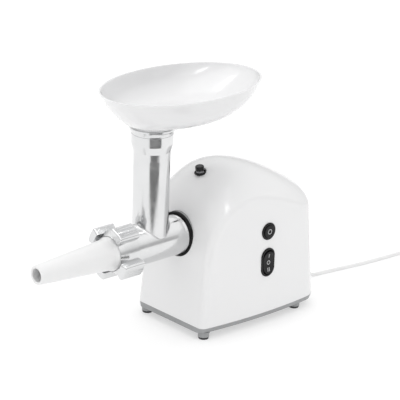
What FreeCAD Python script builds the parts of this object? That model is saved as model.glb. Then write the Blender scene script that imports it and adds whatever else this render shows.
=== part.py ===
import FreeCAD, Part
import math
import os

# Electric meat grinder, in millimetres. +Z is up and -Y is the side that the nozzle points to.
# The origin is on the surface that the grinder stands on, under the middle of its box.

V = FreeCAD.Vector
X_AXIS = V(1, 0, 0)
Y_AXIS = V(0, 1, 0)
Z_AXIS = V(0, 0, 1)
ORIGIN = V(0, 0, 0)

# ---- driving dimensions -------------------------------------------------------------------

# Feet and base
FOOT_X = 54.6
FOOT_Y = (15.1, 178.3)
FOOT_R = 7.3
PAD_Z = 3.0
BASE_Z = 10.0
BASE_PROUD = 0.2
BASE_TAPER = 2.4
SHELL_Z = 16.5

# Housing
WALL = 2.6
SIDE_X = 71.0
SIDE_Y = 117.0
SIDE_BOW_R = 740.0
BACK_Y = 213.1
BACK_CORNER_R = 28.0
SIDE_DRAFT = math.radians(1.2)
BACK_LEAN = math.radians(5.0)
FORM_TOP_Z = 236.0
CROWN_R = 82.0
CROWN_HALF = 84.0
ARCH_REACH = 70.0
ARCH_FROM_Z = 110.0
ARCH_FULL_Z = 196.0
EDGE_FRONT_R = 9.0
EDGE_R = 14.0
# Middle line of the front and the crown, as (y, z), from under the base to behind the back.
CREST = ((1.9, -10.0), (4.2, 16.5), (6.6, 43.5), (9.0, 71.0), (11.4, 98.0), (13.8, 126.0), (17.6, 152.0),
         (27.0, 177.0), (44.0, 198.0), (64.0, 210.5), (84.0, 214.6), (104.0, 212.0), (126.0, 205.5),
         (149.0, 196.0), (172.0, 184.5), (196.0, 170.5), (222.0, 153.0))

# Grinding head
BARREL_Z = 126.7
BARREL_R = 26.3
BARREL_BORE_R = 22.6
BARREL_BACK_Y = 27.4
BARREL_FRONT_Y = -85.0
TUBE_Y = -32.1
TUBE_R = 23.2
TUBE_BORE_R = 20.6
TUBE_COLLAR_R = 26.4
TUBE_RIM_R = 29.0
TUBE_RIM_Z = 273.4
TUBE_TOP_Z = 281.0
PLATE_R = 24.2
PLATE_T = 5.0
HEAD_GAP = 0.35
SOCKET_R = 29.2
SOCKET_Y = (16.2, 29.0)
SEAL_Y = 12.6
DRIVE_Y = (16.4, 23.6)

# Ring nut and nozzle
NUT_BACK_Y = -71.4
NUT_LIP_Y = -89.6
NUT_EDGE_Y = -93.4
NUT_FRONT_Y = -99.2
NUT_R = 28.6
NUT_MOUTH_R = 22.4
LUG_R = 38.0
LUG_TIP_Y = -103.2
LUG_ANGLES = (28.0, 118.0, 208.0, 298.0)
LUG_HALF_ANGLE = 19.0
FLANGE_R = 26.0
FLANGE_Y = (-89.2, -85.35)
NOZZLE_R = 22.0
NOZZLE_TIP_Y = -213.9
NOZZLE_TIP_R = 12.3
NOZZLE_BORE_R = 8.6

# Tray: (height, front y, back y, half width) of its outer sections, from the rim down to the neck.
TRAY_SECTIONS = ((327.0, -103.9, 132.1, 76.4), (318.0, -98.0, 124.2, 76.0), (306.0, -89.0, 110.0, 74.0),
                 (294.5, -78.4, 90.5, 64.5), (286.5, -68.6, 62.0, 47.0), (282.4, -61.0, 20.0, 30.5))
TRAY_T = 2.2
NECK_R = 20.2
NECK_BORE_R = 18.4
NECK_Z = 262.0

# Gear train, all on axes along Y
MOTOR_Z = 62.0
PRESSURE_ANGLE = math.radians(25.0)
BACKLASH = 0.09
STAGE_1 = (12, 66, 0.75)
STAGE_2 = (12, 48, 1.25)
STAGE_3 = (13, 39, 1.75)
PLANE_1 = (71.0, 82.0)
PLANE_2 = (55.0, 67.0)
PLANE_3 = (34.0, 52.0)
GEARBOX_Y = (29.0, 88.0)
COVER_T = 4.0
GEARBOX_WALL = 2.8
GEAR_ROOM = 1.6
OUTPUT_R = 8.0
OUTPUT_TAIL_R = 5.0
TAIL_HALF = 5.5
PIN_R = 4.0
PIN_PLAY = 0.06

# Motor
SHAFT_R = 4.0
ARMATURE_R = 17.4
ARMATURE_Y = (108.0, 150.0)
STATOR_BORE_R = 18.2
STATOR_HALF_HEIGHT = 29.0
BOLT_X = 27.9
SPACER_R = 3.4
COMMUTATOR_R = 10.5
COMMUTATOR_Y = (161.0, 173.0)
REAR_Y = 190.0
BUSH_R = 7.5

# Controls, on the +X side
CONTROL_Y = 110.3
BUTTON_Z = 128.0
ROCKER_Z = 85.5
BEZEL_R = 11.6
BEZEL_HALF_LENGTH = 8.0
BEZEL_PROUD = 1.3
BEZEL_SEAT = 0.5
BUTTON_R = 8.7
BUTTON_STEM = 6.0
SWITCH_DEPTH = 12.0
ROCKER_PIN_R = 1.5
ROCKER_PIN_DEPTH = 4.5
ROCKER_PIN_HALF = 9.6

BOARD_X = -62.0
BOARD_Y = (100.0, 168.0)
BOARD_Z = (60.0, 130.0)
BOARD_POST_Y = (105.0, 163.0)
BOARD_POST_Z = (65.0, 125.0)

# Release knob
KNOB_Y = 50.9
KNOB_Z = 200.6
KNOB_TILT = 9.0
KNOB_R = 5.8

# Mains cord
CORD_R = 2.5
GLAND_Z = 24.0
GLAND_TIP_Y = 236.0
CORD_ROUTE = ((0.0, GLAND_TIP_Y, GLAND_Z), (-0.6, 248.0, 22.6), (-2.0, 259.0, 12.0), (-3.2, 270.5, 2.8),
              (-1.6, 286.0, 2.6), (1.2, 303.0, 2.6), (4.4, 325.0, 2.6), (9.6, 354.0, 2.6),
              (13.2, 386.0, 2.6), (15.6, 419.0, 2.6), (15.9, 453.0, 2.6), (16.0, 486.0, 2.6))
COIL_CENTRE = (43.5, 486.0)
COIL_R = 27.5
COIL_HALF_WIDTH = 8.0
COIL_HEIGHT = 10.4
PLUG_BACK_Y = 455.0
PLUG_FACE_Y = 415.0
PLUG_Z = 6.9


# ---- helpers ------------------------------------------------------------------------------

def export(name, *solids):
    """Writes one node; several solids make one node of separate pieces."""
    shape = solids[0] if len(solids) == 1 else Part.makeCompound(list(solids))
    shape.exportStep("parts/" + name + ".step")


def box(x, y, z):
    """Block between the two limits given on each axis."""
    return Part.makeBox(x[1] - x[0], y[1] - y[0], z[1] - z[0], V(x[0], y[0], z[0]))


def rod_x(r, x0, x1, y, z):
    return Part.makeCylinder(r, x1 - x0, V(x0, y, z), X_AXIS)


def rod_y(r, y0, y1, x=0.0, z=BARREL_Z):
    return Part.makeCylinder(r, y1 - y0, V(x, y0, z), Y_AXIS)


def rod_z(r, z0, z1, x=0.0, y=0.0):
    return Part.makeCylinder(r, z1 - z0, V(x, y, z0), Z_AXIS)


def ring_y(r_out, r_in, y0, y1, x=0.0, z=BARREL_Z):
    return rod_y(r_out, y0, y1, x, z).cut(rod_y(r_in, y0 - 1, y1 + 1, x, z))


def ring_z(r_out, r_in, z0, z1, x=0.0, y=0.0):
    return rod_z(r_out, z0, z1, x, y).cut(rod_z(r_in, z0 - 1, z1 + 1, x, y))


def joined(first, *others):
    """Union as one clean solid."""
    return first.multiFuse(list(others)).removeSplitter()


def turned(points, centre, axis, up):
    """Solid of revolution: points are (radius, height along the axis) from centre."""
    side = axis.cross(up)
    wire = Part.makePolygon([centre + side * r + axis * h for r, h in points + points[:1]])
    return Part.Face(wire).revolve(centre, axis, 360)


def turned_y(points, x=0.0, z=BARREL_Z):
    """Revolution about an axis along Y; each point is (radius, y)."""
    return turned(points, V(x, 0, z), Y_AXIS, X_AXIS)


def turned_z(points, x=0.0, y=0.0):
    """Revolution about a vertical axis; each point is (radius, z)."""
    return turned(points, V(x, y, 0), Z_AXIS, X_AXIS)


def prism_y(points, y0, y1):
    """Prism along Y of an outline of (x, z) points."""
    wire = Part.makePolygon([V(x, y0, z) for x, z in points + points[:1]])
    return Part.Face(wire).extrude(V(0, y1 - y0, 0))


def prism_x(points, x0, x1):
    """Prism along X of an outline of (y, z) points."""
    wire = Part.makePolygon([V(x0, y, z) for y, z in points + points[:1]])
    return Part.Face(wire).extrude(V(x1 - x0, 0, 0))


def mirrored(shape):
    """The same shape on the other side of the middle plane."""
    return shape.mirror(ORIGIN, X_AXIS)


def spread(count, step, middle=0.0):
    """Evenly spaced positions about a middle."""
    return [middle + (i - (count - 1) / 2) * step for i in range(count)]


# ---- housing form -------------------------------------------------------------------------

def plan_wire(z, inset):
    """Closed outline of the housing seen from above at height z: bowed sides and round back corners."""
    rise = z - SHELL_Z
    side = SIDE_X - inset - rise * math.tan(SIDE_DRAFT)
    back = BACK_Y - inset - rise * math.tan(BACK_LEAN)
    bow = SIDE_BOW_R - inset
    corner = BACK_CORNER_R - inset
    centre_x = side - bow
    reach = bow - corner
    corner_y = back - corner
    angle = math.asin((corner_y - SIDE_Y) / reach)
    corner_x = centre_x + reach * math.cos(angle)
    front_y = -26.0
    front_angle = math.asin((front_y - SIDE_Y) / bow)
    front = V(centre_x + bow * math.cos(front_angle), front_y, z)
    middle = V(side, SIDE_Y, z)
    start = V(centre_x + bow * math.cos(angle), SIDE_Y + bow * math.sin(angle), z)
    bend = (angle + math.pi / 2) / 2
    mid = V(corner_x + corner * math.cos(bend), corner_y + corner * math.sin(bend), z)
    end = V(corner_x, back, z)

    def flip(p):
        return V(-p.x, p.y, p.z)

    edges = [Part.Arc(front, middle, start).toShape(),
             Part.Arc(start, mid, end).toShape(),
             Part.LineSegment(end, flip(end)).toShape(),
             Part.Arc(flip(end), flip(mid), flip(start)).toShape(),
             Part.Arc(flip(start), flip(middle), flip(front)).toShape(),
             Part.LineSegment(flip(front), front).toShape()]
    return Part.Wire(edges)


def inward(points, inset):
    """Points of a line in the middle plane, moved square to it by inset."""
    moved = []
    for i, (y, z) in enumerate(points):
        before = points[max(i - 1, 0)]
        after = points[min(i + 1, len(points) - 1)]
        run = V(0, after[0] - before[0], after[1] - before[1]).normalize()
        moved.append((y + run.z * inset, z - run.y * inset))
    return moved


def crown_solid(inset):
    """Everything under the front and the arched crown: one smooth surface, carried down."""
    radius = CROWN_R - inset
    poles = []
    for y, z in inward(CREST, inset):
        arch = 1.0 if y > 60.0 else min(max((z - ARCH_FROM_Z) / (ARCH_FULL_Z - ARCH_FROM_Z), 0.0), 1.0)
        arch = arch * arch * (3 - 2 * arch)
        lean = 0.45 * min(max((ARCH_FULL_Z - z) / 60.0, 0.0), 1.0) if y < 60.0 else 0.0
        row = []
        for step in range(-6, 7):
            x = step * CROWN_HALF / 6
            reach = min(abs(x), ARCH_REACH)
            drop = radius - math.sqrt(radius * radius - reach * reach) + (abs(x) - reach) * 1.2
            row.append(V(x, y + arch * drop * lean, z - arch * drop * (1 - lean)))
        poles.append(row)

    def knots(count):
        inner = count - 4
        return [i / (inner + 1) for i in range(inner + 2)], [4] + [1] * inner + [4]

    u_knots, u_mults = knots(len(poles))
    v_knots, v_mults = knots(len(poles[0]))
    surface = Part.BSplineSurface()
    surface.buildFromPolesMultsKnots(poles, u_mults, v_mults, u_knots, v_knots, False, False, 3, 3)
    return surface.toShape().extrude(V(0, 0, -320))


def with_round_edges(form, edge_front_r, edge_r):
    """Rounds the two side edges, tighter at the foot of the front, and the edge round the back of the top."""
    radii = []
    for number, edge in enumerate(form.Edges, 1):
        reach = edge.BoundBox
        if reach.ZMin < SHELL_Z + 1 and reach.ZMax > 150 and reach.YMin < 40:
            starts_low = edge.valueAt(edge.FirstParameter).z < 60
            ends = (edge_front_r, edge_r) if starts_low else (edge_r, edge_front_r)
            radii.append((number, ends[0], ends[1]))
        elif reach.YMin > 150 and reach.ZMin > 120:
            radii.append((number, edge_r, edge_r))
    document = FreeCAD.newDocument()
    blank = document.addObject("Part::Feature", "form")
    blank.Shape = form
    rounded = document.addObject("Part::Fillet", "rounded")
    rounded.Base = blank
    rounded.Edges = radii
    document.recompute()
    shape = rounded.Shape.copy()
    FreeCAD.closeDocument(document.Name)
    return shape.Solids[0]


def housing_form(inset, z0):
    """The housing's outer form at an inset, from z0 up."""
    plan = Part.makeLoft([plan_wire(z0, inset), plan_wire(FORM_TOP_Z, inset)], True, True)
    form = plan.common(crown_solid(inset)).Solids[0]
    return with_round_edges(form, EDGE_FRONT_R - inset, EDGE_R - inset)


def slice_of_form(inset_low, inset_high, z0, z1):
    """A slab of the housing's plan outline between two heights, for the base."""
    plan = Part.makeLoft([plan_wire(z0, inset_low), plan_wire(z1, inset_high)], True, True)
    slab = plan.common(crown_solid(inset_high)).Solids[0]
    corners = [e for e in slab.Edges if e.BoundBox.ZLength > 0.9 * (z1 - z0) and e.BoundBox.YMax < 20]
    return slab.makeFillet(EDGE_FRONT_R - min(inset_high, 3.0), corners)


# ---- positions worked out from the driving dimensions --------------------------------------

def panel_x(z):
    """Half width of the housing at the controls."""
    return SIDE_X - (z - SHELL_Z) * math.tan(SIDE_DRAFT)


def train_distance(stage):
    """Centre distance of a pinion and its wheel."""
    pinion, wheel, module = stage
    return (pinion + wheel) * module / 2


def third_corner(a, ra, b, rb):
    """The point to the right of the line a-b at distance ra from a and rb from b, as (x, z)."""
    run = (b[0] - a[0], b[1] - a[1])
    length = math.hypot(run[0], run[1])
    along = (ra * ra - rb * rb + length * length) / (2 * length)
    aside = math.sqrt(ra * ra - along * along)
    ux, uz = run[0] / length, run[1] / length
    return (a[0] + along * ux + aside * uz, a[1] + along * uz - aside * ux)


MOTOR_AT = (0.0, MOTOR_Z)
OUTPUT_AT = (0.0, BARREL_Z)
STAGE_ONE_ANGLE = math.radians(135.0)
PIN_ONE_AT = (MOTOR_AT[0] + train_distance(STAGE_1) * math.cos(STAGE_ONE_ANGLE),
              MOTOR_AT[1] + train_distance(STAGE_1) * math.sin(STAGE_ONE_ANGLE))
PIN_TWO_AT = third_corner(PIN_ONE_AT, train_distance(STAGE_2), OUTPUT_AT, train_distance(STAGE_3))


# ---- gears --------------------------------------------------------------------------------

def tooth_profile(teeth, module, phase, addendum):
    """Outline of a spur gear as (x, z) points, with a tooth centred on the angle phase."""
    pitch_r = teeth * module / 2
    base_r = pitch_r * math.cos(PRESSURE_ANGLE)
    tip_r = pitch_r + addendum * module
    root_r = pitch_r - 1.2 * module
    involute_at_pitch = math.tan(PRESSURE_ANGLE) - PRESSURE_ANGLE
    half_tooth = (math.pi / 2 - BACKLASH) / teeth
    start_r = max(base_r, root_r + 0.05 * module)
    flank = []
    for step in range(6):
        r = start_r + (tip_r - start_r) * step / 5
        pressure = math.acos(min(base_r / r, 1.0))
        flank.append((r, half_tooth + involute_at_pitch - (math.tan(pressure) - pressure)))
    points = []
    for tooth in range(teeth):
        middle = phase + 2 * math.pi * tooth / teeth
        root_half = flank[0][1]
        side = [(root_r, -root_half)] + [(r, -a) for r, a in flank]
        side += [(r, a) for r, a in reversed(flank)] + [(root_r, root_half)]
        points += [(r * math.cos(middle + a), r * math.sin(middle + a)) for r, a in side]
    return points


def gear(teeth, module, at, y, phase, addendum=1.0):
    """Solid spur gear between the two y limits."""
    outline = [(at[0] + x, at[1] + z) for x, z in tooth_profile(teeth, module, phase, addendum)]
    return prism_y(outline, y[0], y[1])


def meshing_phase(stage, pinion_at, wheel_at, pinion_phase):
    """Phase that puts the wheel's gaps round the pinion's teeth."""
    pinion, wheel, module = stage
    toward = math.atan2(wheel_at[1] - pinion_at[1], wheel_at[0] - pinion_at[0])
    slip = (pinion * module / 2) * (pinion_phase - toward) + math.pi * module / 2
    return toward + math.pi - slip / (wheel * module / 2)


PHASE_1 = meshing_phase(STAGE_1, MOTOR_AT, PIN_ONE_AT, 0.0)
PHASE_2 = meshing_phase(STAGE_2, PIN_ONE_AT, PIN_TWO_AT, 0.0)
PHASE_3 = meshing_phase(STAGE_3, PIN_TWO_AT, OUTPUT_AT, 0.0)


def ring_of_holes(count, r_hole, r_circle, at, y, turn=0.0):
    """Round holes on a circle, to lighten a wheel or clear a plate."""
    return [rod_y(r_hole, y[0] - 1, y[1] + 1, at[0] + r_circle * math.cos(turn + 2 * math.pi * i / count),
                  at[1] + r_circle * math.sin(turn + 2 * math.pi * i / count)) for i in range(count)]


# ---- housing and base ---------------------------------------------------------------------

def housing_shell():
    outer = housing_form(0.0, SHELL_Z)
    shell = outer.cut(housing_form(WALL, SHELL_Z - 6))
    inside = housing_form(WALL / 2, SHELL_Z - 6)
    bosses = []
    for side in (-1, 1):
        for y in FOOT_Y:
            boss = rod_z(4.6, 13.0, 46.0, side * FOOT_X, y)
            web = box((FOOT_X, SIDE_X + 1), (y - 1.2, y + 1.2), (17.0, 46.0))
            web = web if side > 0 else mirrored(web)
            bosses.append(boss.fuse(web).common(inside))
    posts = [rod_x(3.0, -80, BOARD_X, y, z).common(inside) for y in BOARD_POST_Y for z in BOARD_POST_Z]
    shell = shell.multiFuse(bosses + posts)
    knob_axis = V(0, -math.sin(math.radians(KNOB_TILT)), math.cos(math.radians(KNOB_TILT)))
    knob_foot = V(0, KNOB_Y, KNOB_Z)
    tools = [rod_y(29.4, -10, 40)]
    tools += [rod_z(1.9, 12, 40, side * FOOT_X, y) for side in (-1, 1) for y in FOOT_Y]
    tools.append(Part.makeCylinder(8.4, 30, knob_foot, knob_axis))
    tools.append(Part.makeCylinder(5.0, 60, knob_foot - knob_axis * 30, knob_axis))
    tools.append(rod_x(BEZEL_R - 1.6, 50, 90, CONTROL_Y, BUTTON_Z))
    tools.append(pill_x(BEZEL_R - 1.6, 50, 90))
    tools.append(rod_x(BEZEL_R, panel_x(BUTTON_Z) - BEZEL_SEAT, 90, CONTROL_Y, BUTTON_Z))
    tools.append(pill_x(BEZEL_R, panel_x(ROCKER_Z) - BEZEL_SEAT, 90))
    tools.append(rod_y(5.2, 190, 240, 0, GLAND_Z))
    shell = shell.cut(tools[0].multiFuse(tools[1:]))
    return shell.Solids[0]


def pill_x(r, x0, x1, half_length=BEZEL_HALF_LENGTH):
    """Upright rounded bar along X at the rocker switch."""
    ends = [rod_x(r, x0, x1, CONTROL_Y, ROCKER_Z + s * half_length) for s in (-1, 1)]
    z = (ROCKER_Z - half_length, ROCKER_Z + half_length)
    return joined(ends[0], ends[1], box((x0, x1), (CONTROL_Y - r, CONTROL_Y + r), z))


def base_plate():
    plate = slice_of_form(BASE_TAPER, -BASE_PROUD, BASE_Z, SHELL_Z)
    plate = plate.cut(slice_of_form(BASE_TAPER + WALL, WALL, BASE_Z + WALL, SHELL_Z + 1))
    floor = BASE_Z + WALL - 0.1
    motor_floor = MOTOR_Z - STATOR_HALF_HEIGHT
    cradle = [box((x - 3, x + 3), (112, 146), (floor, motor_floor)) for x in (-20, 20)]
    stands = [box((x - 3, x + 3), (40, 74), (floor, 62)) for x in (-24, 24)]
    stands = [stand.cut(gearbox_form(GEAR_ROOM + GEARBOX_WALL, 39, 75)).Solids[0] for stand in stands]
    plate = plate.multiFuse(cradle + stands)
    cuts = [rod_z(2.1, 5, 20, s * FOOT_X, y) for s in (-1, 1) for y in FOOT_Y]
    vent_y = [y for y in spread(9, 7, 125) if abs(y - 129) > 20]
    cuts += [box((x - 11, x + 11), (y - 1.5, y + 1.5), (5, 14)) for x in (-34, 34) for y in vent_y]
    return plate.cut(cuts[0].multiFuse(cuts[1:])).Solids[0]


def feet():
    made = []
    for x in (-FOOT_X, FOOT_X):
        for y in FOOT_Y:
            foot = rod_z(FOOT_R, PAD_Z, BASE_Z, x, y).fuse(rod_z(FOOT_R + 0.9, BASE_Z - 1.6, BASE_Z, x, y))
            foot = foot.cut(rod_z(2.1, 0, 20, x, y)).cut(rod_z(4.2, 0, 6.4, x, y))
            made.append(foot.removeSplitter())
    return made


def foot_pads():
    return [Part.makeCone(FOOT_R - 0.9, FOOT_R - 0.1, PAD_Z, V(x, y, 0), Z_AXIS)
            for x in (-FOOT_X, FOOT_X) for y in FOOT_Y]


def base_screws():
    """Upright screws in the feet, heads down, each with a cross slot."""
    head_r = 3.6
    head_z, seat_z, tip_z = 4.4, 6.4, 26.0
    reach = head_r * 0.6
    slot_z = (head_z - 1, head_z + 0.9)
    made = []
    for x in (-FOOT_X, FOOT_X):
        for y in FOOT_Y:
            screw = rod_z(head_r, head_z, seat_z, x, y).fuse(rod_z(1.85, seat_z, tip_z, x, y))
            slot = box((x - reach, x + reach), (y - 0.4, y + 0.4), slot_z)
            cross = box((x - 0.4, x + 0.4), (y - reach, y + reach), slot_z)
            made.append(screw.cut(slot.fuse(cross)).removeSplitter())
    return made


# ---- gearbox ------------------------------------------------------------------------------

def gearbox_form(extra, y0, y1):
    """Union of a disc round each gear, grown by extra."""
    rods = [rod_y(12.0 + extra, y0, y1, *MOTOR_AT)]
    for at, stage in ((PIN_ONE_AT, STAGE_1), (PIN_TWO_AT, STAGE_2), (OUTPUT_AT, STAGE_3)):
        rods.append(rod_y((stage[1] / 2 + 1) * stage[2] + extra, y0, y1, *at))
    return joined(*rods)


GEARBOX_SCREWS = ((-33.0, 150.0), (33.0, 152.0), (-49.5, 96.0), (51.0, 96.0), (-18.0, 49.0), (24.0, 49.0))
SOCKET_SCREWS = tuple((sx * 23.2, BARREL_Z + sz * 23.2) for sx in (-1, 1) for sz in (-1, 1))


def gearbox_housing():
    y0, y1 = GEARBOX_Y
    outer = gearbox_form(GEAR_ROOM + GEARBOX_WALL, y0, y1)
    ears = [rod_y(4.6, y1 - 12, y1, x, z) for x, z in GEARBOX_SCREWS]
    outer = outer.multiFuse(ears + [rod_y(15.0, y0 - 5, y0 + 5)])
    outer = outer.cut(gearbox_form(GEAR_ROOM, y0 + 3, y1 + 1))
    cuts = [rod_y(11.0, y0 - 10, y0 + 10)]
    cuts += [rod_y(PIN_R + 0.02, y0 + 0.5, y0 + 10, *at) for at in (PIN_ONE_AT, PIN_TWO_AT)]
    cuts += [rod_y(1.5, y1 - 11, y1 + 1, x, z) for x, z in GEARBOX_SCREWS]
    cuts += [rod_y(1.6, y0 - 1, y0 + 4, x, z) for x, z in SOCKET_SCREWS]
    housing = outer.cut(cuts[0].multiFuse(cuts[1:]))
    seats = [ring_y(7.0, PIN_R + 0.02, y0 + 3, PLANE_3[0] - 0.6, *at) for at in (PIN_ONE_AT, PIN_TWO_AT)]
    return housing.multiFuse(seats).Solids[0]


def gearbox_cover():
    y1 = GEARBOX_Y[1]
    plate = gearbox_form(GEAR_ROOM + GEARBOX_WALL, y1, y1 + COVER_T)
    arm = box((-BOLT_X - 5, BOLT_X + 5), (y1, y1 + COVER_T), (MOTOR_Z - 6, MOTOR_Z + 6))
    ears = [rod_y(4.6, y1, y1 + COVER_T, x, z) for x, z in GEARBOX_SCREWS]
    plate = plate.multiFuse(ears + [arm, rod_y(11.0, y1 + COVER_T, y1 + COVER_T + 3, *MOTOR_AT)])
    cuts = [rod_y(BUSH_R, y1 - 5, y1 + 20, *MOTOR_AT), rod_y(7.0, y1 - 5, y1 + 20, *OUTPUT_AT)]
    cuts += [rod_y(PIN_R + 0.02, y1 - 1, y1 + 2.5, *at) for at in (PIN_ONE_AT, PIN_TWO_AT)]
    cuts += [rod_y(2.2, y1 - 5, y1 + 20, s * BOLT_X, MOTOR_Z) for s in (-1, 1)]
    cuts += [rod_y(1.7, y1 - 5, y1 + 20, x, z) for x, z in GEARBOX_SCREWS]
    return plate.cut(cuts[0].multiFuse(cuts[1:])).removeSplitter().Solids[0]


def bushes():
    """Bearing sleeves of the output shaft and of the motor's shaft."""
    y0, y1 = GEARBOX_Y
    play = 0.05
    return [ring_y(11.0, OUTPUT_R + play, y0 - 5, y0 + 3),
            ring_y(7.0, OUTPUT_TAIL_R + play, y1, y1 + COVER_T),
            ring_y(BUSH_R, SHAFT_R + play, y1, y1 + COVER_T + 3, *MOTOR_AT),
            ring_y(BUSH_R, SHAFT_R + play, REAR_Y - 1.5, REAR_Y + 4, *MOTOR_AT)]


def gear_pins():
    y0, y1 = GEARBOX_Y
    return [rod_y(PIN_R, y0 + 0.5, y1 + 2.5, *at) for at in (PIN_ONE_AT, PIN_TWO_AT)]


def output_gear():
    wheel = gear(STAGE_3[1], STAGE_3[2], OUTPUT_AT, PLANE_3, PHASE_3, 0.9)
    holes = ring_of_holes(6, 6.0, 20.5, OUTPUT_AT, PLANE_3)
    return wheel.cut(holes[0].multiFuse(holes[1:] + [rod_y(OUTPUT_R, 30, 60)])).Solids[0]


def output_shaft():
    """Shaft with a square drive socket at its front."""
    front, shoulder = DRIVE_Y
    shaft = turned_y([(0, front), (13.0, front), (13.0, shoulder), (OUTPUT_R, shoulder),
                      (OUTPUT_R, PLANE_3[1]), (OUTPUT_TAIL_R, PLANE_3[1]), (OUTPUT_TAIL_R, 91.0), (0, 91.0)])
    half = TAIL_HALF + 0.15
    socket = box((-half, half), (front - 1, front + 6.2), (BARREL_Z - half, BARREL_Z + half))
    return shaft.cut(socket).Solids[0]


def gearbox_screws():
    y1 = GEARBOX_Y[1]
    seat = y1 + COVER_T
    made = []
    for x, z in GEARBOX_SCREWS:
        head = rod_y(3.1, seat, seat + 2.2, x, z)
        head = head.cut(box((x - 1.8, x + 1.8), (seat + 1.2, seat + 4), (z - 0.4, z + 0.4)))
        made.append(head.fuse(rod_y(1.45, y1 - 9, seat, x, z)).removeSplitter())
    return made


def cluster(stage_in, phase_in, plane_in, stage_out, phase_out, plane_out, at):
    """Wheel and pinion in one piece, turning on a fixed pin."""
    across = stage_in[1] * stage_in[2]
    wheel = gear(stage_in[1], stage_in[2], at, plane_in, phase_in, 0.9)
    holes = ring_of_holes(6, across * 0.085, across * 0.32, at, plane_in)
    wheel = wheel.cut(holes[0].multiFuse(holes[1:]))
    pinion = gear(stage_out[0], stage_out[2], at, plane_out, phase_out)
    ends = sorted(plane_in + plane_out)
    hub = rod_y(stage_out[0] * stage_out[2] * 0.36, ends[0], ends[3], *at)
    bore = rod_y(PIN_R + PIN_PLAY, ends[0] - 1, ends[3] + 1, *at)
    return wheel.multiFuse([pinion, hub]).cut(bore).Solids[0]


# ---- motor --------------------------------------------------------------------------------

def around_motor(shape, count):
    """Copies of a shape, evenly spaced round the motor's axis."""
    copies = []
    for i in range(count):
        copy = shape.copy()
        copy.rotate(V(0, 0, MOTOR_Z), Y_AXIS, 360 * i / count)
        copies.append(copy)
    return copies


def motor_stator():
    half = STATOR_HALF_HEIGHT
    stack = box((-33, 33), ARMATURE_Y, (MOTOR_Z - half, MOTOR_Z + half))
    stack = stack.makeFillet(9, [e for e in stack.Edges if e.BoundBox.YLength > 40])
    windows = [box((7.5, 24.5), (100, 160), (MOTOR_Z + low, MOTOR_Z + low + 8.5)) for low in (18, -26.5)]
    windows += [mirrored(window) for window in windows]
    bolts = [rod_y(2.2, 100, 160, s * BOLT_X, MOTOR_Z) for s in (-1, 1)]
    bore = rod_y(STATOR_BORE_R, 100, 160, *MOTOR_AT)
    return stack.cut(bore.multiFuse(windows + bolts)).Solids[0]


def field_coils():
    y0, y1 = ARMATURE_Y
    outer = box((8, 24), (y0 - 8, y1 + 8), (MOTOR_Z - 26, MOTOR_Z + 26))
    outer = outer.makeFillet(5, [e for e in outer.Edges if e.BoundBox.XLength > 10])
    pole = box((7, 25), (y0 - 1.2, y1 + 1.2), (MOTOR_Z - 18.6, MOTOR_Z + 18.6))
    coil = outer.cut(pole).cut(rod_y(STATOR_BORE_R + 0.6, 90, 170, *MOTOR_AT)).Solids[0]
    return coil, mirrored(coil)


def armature():
    y0, y1 = ARMATURE_Y
    core = ring_y(ARMATURE_R, SHAFT_R, y0, y1, *MOTOR_AT)
    slots = around_motor(box((-0.8, 0.8), (y0 - 1, y1 + 1), (MOTOR_Z + 13, MOTOR_Z + 20)), 12)
    return core.cut(slots[0].multiFuse(slots[1:])).Solids[0]


def armature_windings():
    y0, y1 = ARMATURE_Y
    front = turned_y([(SHAFT_R, y0 - 7), (11, y0 - 7), (14, y0 - 4), (14.5, y0), (SHAFT_R, y0)], *MOTOR_AT)
    rear = turned_y([(SHAFT_R, y1), (14.5, y1), (14, y1 + 4), (11, y1 + 8), (SHAFT_R, y1 + 8)], *MOTOR_AT)
    return front, rear


def commutator():
    body = ring_y(COMMUTATOR_R, SHAFT_R, *COMMUTATOR_Y, *MOTOR_AT)
    slits = around_motor(box((-0.3, 0.3), (160, 172), (MOTOR_Z + 9.4, MOTOR_Z + 12)), 12)
    return body.cut(slits[0].multiFuse(slits[1:])).Solids[0]


def cooling_fan():
    disc = ring_y(23.5, SHAFT_R, 178, 179.6, *MOTOR_AT)
    hub = ring_y(8, SHAFT_R, 176.5, 186, *MOTOR_AT)
    blade = box((-0.7, 0.7), (179, 186), (MOTOR_Z + 7, MOTOR_Z + 23.5))
    blade.rotate(V(0, 0, MOTOR_Z + 7), Y_AXIS, 25)
    blades = around_motor(blade, 9)
    fan = disc.multiFuse([hub] + blades).common(rod_y(23.5, 170, 190, *MOTOR_AT))
    return fan.removeSplitter().Solids[0]


def rotor_shaft():
    """Motor shaft with the first pinion cut on its front end."""
    front, back = PLANE_1
    nose = rod_y(3.4, front - 1.5, front, *MOTOR_AT)
    pinion = gear(STAGE_1[0], STAGE_1[2], MOTOR_AT, PLANE_1, 0.0)
    return joined(nose, pinion, rod_y(SHAFT_R, back, REAR_Y + 6, *MOTOR_AT)).Solids[0]


def rear_bracket():
    y0, y1 = REAR_Y, REAR_Y + 4
    plate = box((-33, 33), (y0, y1), (MOTOR_Z - 9, MOTOR_Z + 9))
    plate = plate.makeFillet(4, [e for e in plate.Edges if e.BoundBox.YLength > 3.9 and e.Length < 4.1])
    boss = rod_y(11, y0 - 1.5, y1, *MOTOR_AT)
    cuts = [rod_y(2.2, y0 - 5, y1 + 5, s * BOLT_X, MOTOR_Z) for s in (-1, 1)]
    return plate.fuse(boss).cut(rod_y(BUSH_R, y0 - 10, y1 + 5, *MOTOR_AT).multiFuse(cuts)).Solids[0]


def motor_bolts():
    made = []
    for s in (-1, 1):
        shank = rod_y(2.1, GEARBOX_Y[1], REAR_Y + 4, s * BOLT_X, MOTOR_Z)
        made.append(joined(shank, rod_y(4, REAR_Y + 4, REAR_Y + 7, s * BOLT_X, MOTOR_Z)))
    return made


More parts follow.
